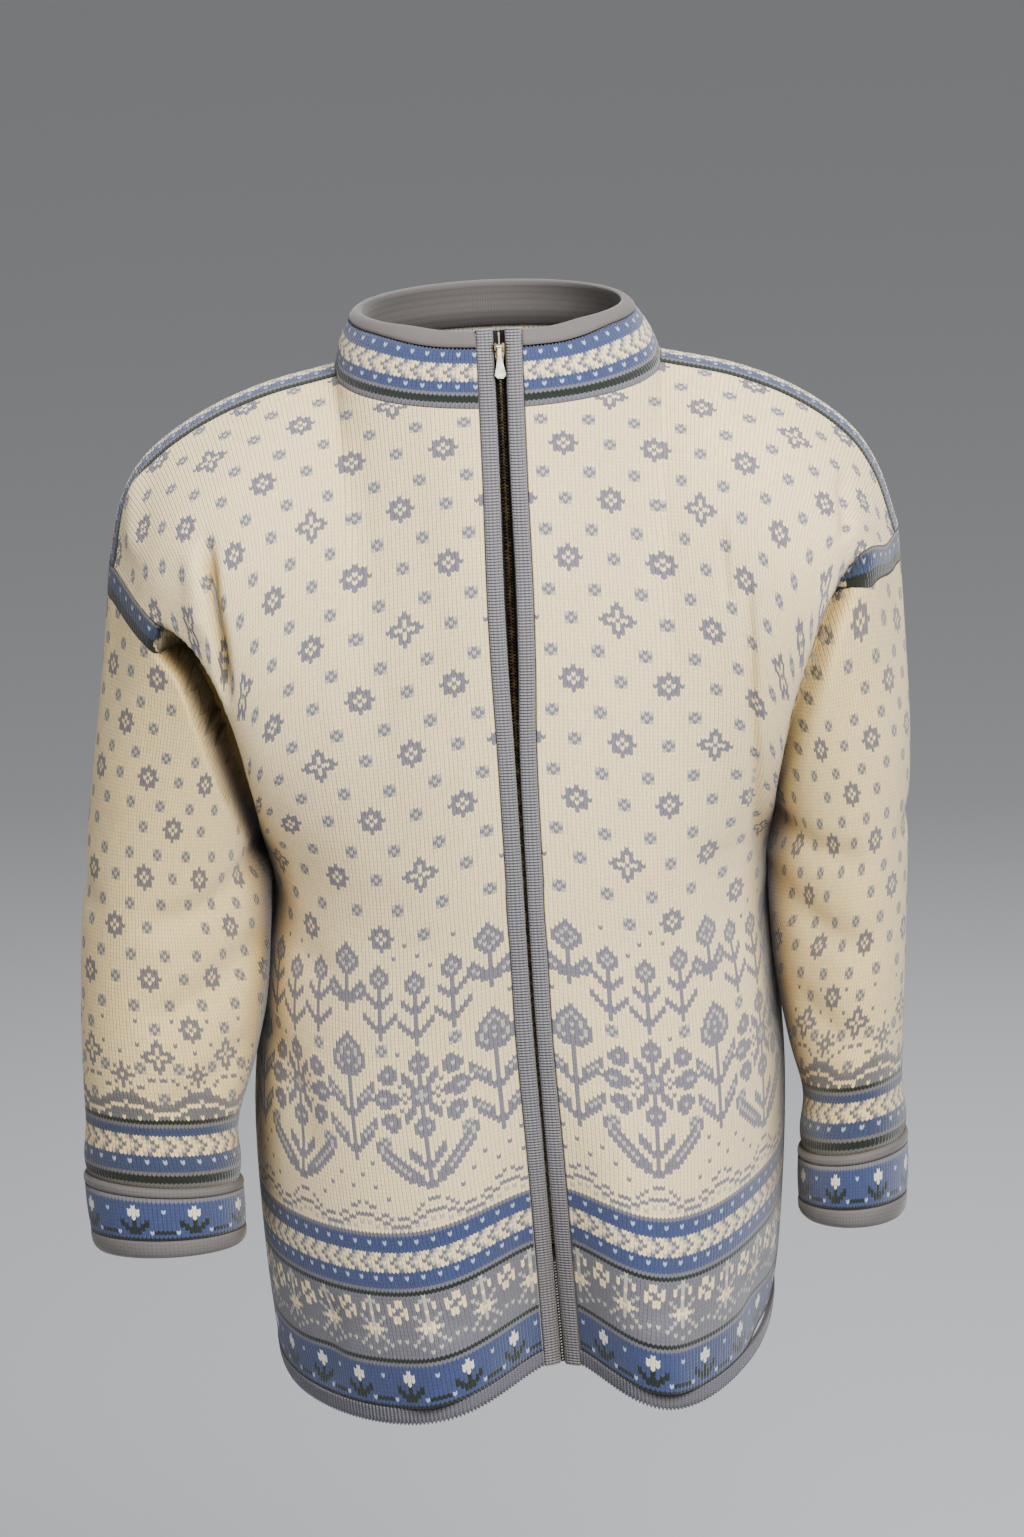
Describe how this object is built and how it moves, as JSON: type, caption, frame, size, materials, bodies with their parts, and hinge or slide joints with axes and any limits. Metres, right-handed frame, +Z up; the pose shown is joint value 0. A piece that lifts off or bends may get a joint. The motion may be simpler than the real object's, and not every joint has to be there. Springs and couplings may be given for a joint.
{
  "type": "zip-up knitted cardigan",
  "caption": "Hollow zip-up knitted cardigan as worn, with stand collar, ribbed zip bindings, dropped sleeves and turned-back patterned cuffs.",
  "frame": {"origin": "middle of the neck base, midway between the two high points of the shoulders, where the garment sits on its wearer", "axes": "+Z up, -Y the way the wearer faces, -X the wearer's right"},
  "size_m": [0.5563, 0.3167, 0.7162],
  "materials": {
    "cream_knit": "soft stranded wool knit",
    "blue_knit": "soft stranded wool knit",
    "grey_rib": "ribbed wool knit",
    "taupe_knit": "plain wool knit",
    "ribbed_binding": "cross-ribbed knitted tape",
    "zip_tape": "woven tape",
    "bronzed_metal": "aged",
    "bright_metal": "worn bright"
  },
  "bodies": {
    "garment": {"front_right": "cream_knit", "front_left": "cream_knit", "back": "cream_knit", "sleeve_right": "cream_knit", "sleeve_left": "cream_knit", "hem_rib_front_right": "grey_rib", "hem_rib_front_left": "grey_rib", "hem_rib_back": "grey_rib", "shoulder_strip_right": "blue_knit", "shoulder_strip_left": "blue_knit", "collar_band": "blue_knit", "cuff_band_right": "blue_knit", "cuff_band_left": "blue_knit", "collar_facing": "taupe_knit", "cuff_trim_right": "taupe_knit", "cuff_trim_left": "taupe_knit", "cuff_fold_right": "taupe_knit", "cuff_fold_left": "taupe_knit", "placket_right": "ribbed_binding", "placket_left": "ribbed_binding", "zip_tape_right": "zip_tape", "zip_tape_left": "zip_tape", "zip_slider": "bronzed_metal"},
    "pull_tab": {"zip_pull": "bright_metal"}
  },
  "joints": [
    {"name": "pull_tab_hinge", "type": "hinge", "parent": "garment", "child": "pull_tab", "pos_m": [0.001, -0.0801, 0.02179], "axis": [-1, 0, 0], "range_deg": [0, 150]}
  ]
}
